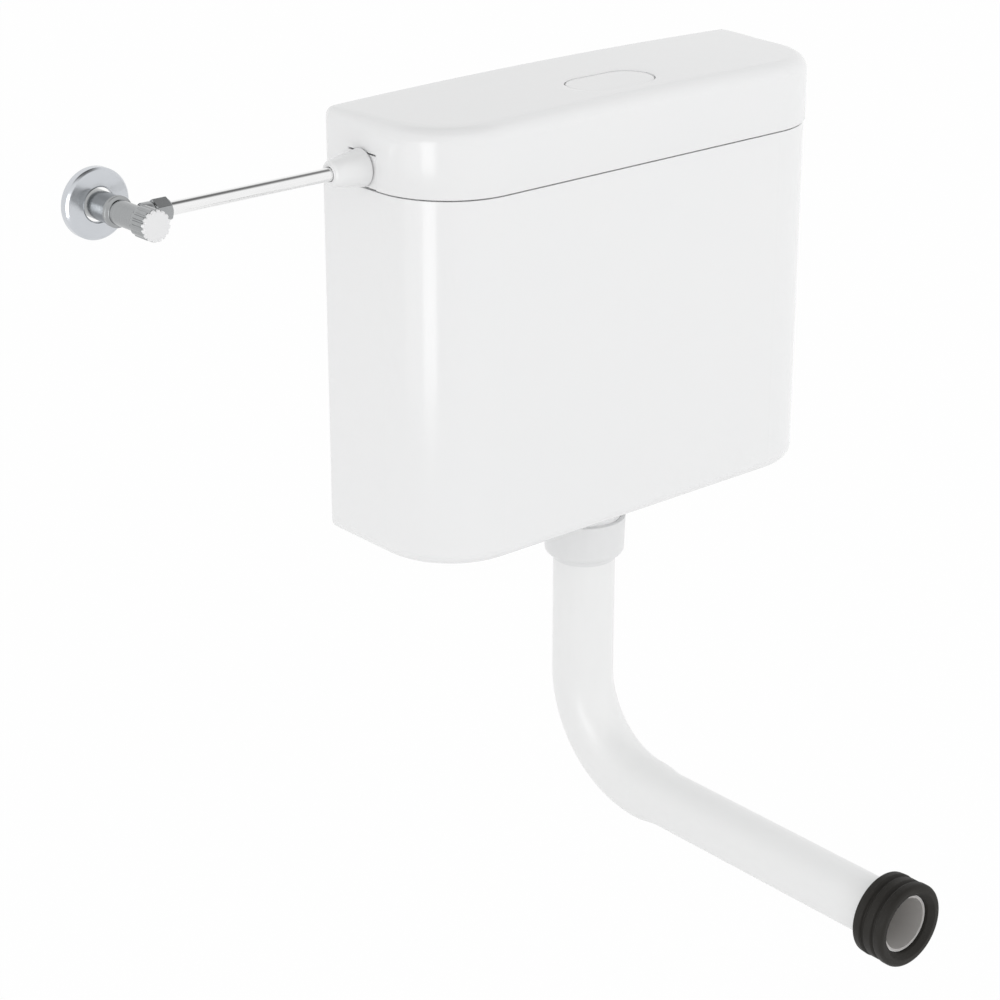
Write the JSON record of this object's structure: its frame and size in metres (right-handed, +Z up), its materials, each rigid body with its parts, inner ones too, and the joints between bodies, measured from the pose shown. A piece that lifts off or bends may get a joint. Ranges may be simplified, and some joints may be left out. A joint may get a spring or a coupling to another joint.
{
  "type": "toilet cistern",
  "caption": "Wall-hung plastic toilet cistern with a crowned lid, oblong flush button, side supply pipe with stop valve, and a bent flush pipe ending in a rubber pan connector.",
  "frame": {"origin": "midway between the two wall screw holes, on the tank's back face", "axes": "+X right along the wall as the user faces it, +Y into the wall, +Z up"},
  "size_m": [0.6322, 0.4405, 0.6075],
  "materials": {
    "white_plastic": "gloss white",
    "grey_plastic": "moulded, satin",
    "black_rubber": "matt",
    "chrome": "polished",
    "cap_white": "bright white",
    "brass": "turned",
    "steel": "drawn"
  },
  "bodies": {
    "cistern": {"tank": "white_plastic", "lever_pin": "steel", "valve_cage": "grey_plastic", "valve_seat": "grey_plastic", "seat_gasket": "black_rubber", "union_nut": "white_plastic", "cone_seal": "black_rubber", "flush_pipe": "white_plastic", "pan_connector": "black_rubber", "fill_valve_body": "grey_plastic", "inlet_seal": "black_rubber", "lock_nut": "grey_plastic", "discharge_tube": "grey_plastic", "arm_pin": "steel", "blanking_plug": "grey_plastic", "inlet_shroud": "white_plastic", "supply_nut": "chrome", "supply_seal": "black_rubber", "supply_pipe": "chrome", "compression_nut": "chrome", "olive": "brass", "stop_valve_body": "chrome", "rosette": "chrome", "headwork": "brass", "spindle_seal": "black_rubber"},
    "lid": {"lid": "white_plastic", "button_frame": "grey_plastic", "button_spring": "steel"},
    "button": {"flush_button": "white_plastic", "push_rod": "grey_plastic"},
    "lever": {"flush_lever": "grey_plastic"},
    "flush_valve": {"overflow_tube": "grey_plastic", "flush_seal": "black_rubber"},
    "float_lever": {"float_arm": "grey_plastic", "float": "white_plastic", "level_screw": "grey_plastic"},
    "piston": {"fill_piston": "grey_plastic", "piston_face": "black_rubber"},
    "stop_handle": {"handle": "chrome", "handle_cap": "cap_white", "handle_screw": "steel", "spindle": "steel"},
    "stop_plug": {"stop_cone": "brass", "cone_washer": "black_rubber"}
  },
  "joints": [
    {"name": "lid_lift", "type": "slide", "parent": "cistern", "child": "lid", "axis": [0, 0, 1], "range_m": [0, 0.06]},
    {"name": "button_press", "type": "slide", "parent": "lid", "child": "button", "axis": [0, 0, -1], "range_m": [0, 0.0055], "stiffness_N_per_m": 400, "springref_m": -0.005, "deforming": ["button_spring"]},
    {"name": "lever_tilt", "type": "hinge", "parent": "cistern", "child": "lever", "pos_m": [0, -0.087, 0.0235], "axis": [1, 0, 0], "range_deg": [0, 28.7]},
    {"name": "flush_lift", "type": "slide", "parent": "cistern", "child": "flush_valve", "axis": [0, 0, 1], "range_m": [0, 0.011]},
    {"name": "float_swing", "type": "hinge", "parent": "cistern", "child": "float_lever", "pos_m": [-0.1455, -0.048, 0.0382], "axis": [0, -1, 0], "range_deg": [0, 20]},
    {"name": "piston_slide", "type": "slide", "parent": "cistern", "child": "piston", "axis": [-1, 0, 0], "range_m": [0, 0.0049]},
    {"name": "handle_turn", "type": "hinge", "parent": "cistern", "child": "stop_handle", "pos_m": [-0.4017, -0.07, 0.0522], "axis": [0, -1, 0], "range_deg": [0, 900]},
    {"name": "plug_slide", "type": "slide", "parent": "cistern", "child": "stop_plug", "axis": [0, -1, 0], "range_m": [0, 0.003]}
  ],
  "couplings": [
    {"joint": "lever_tilt", "follows": "button_press", "rad_per_m": 90.909},
    {"joint": "flush_lift", "follows": "button_press", "ratio": 2},
    {"joint": "piston_slide", "follows": "float_swing", "m_per_rad": 0.014},
    {"joint": "plug_slide", "follows": "handle_turn", "m_per_rad": 0.00019098}
  ]
}
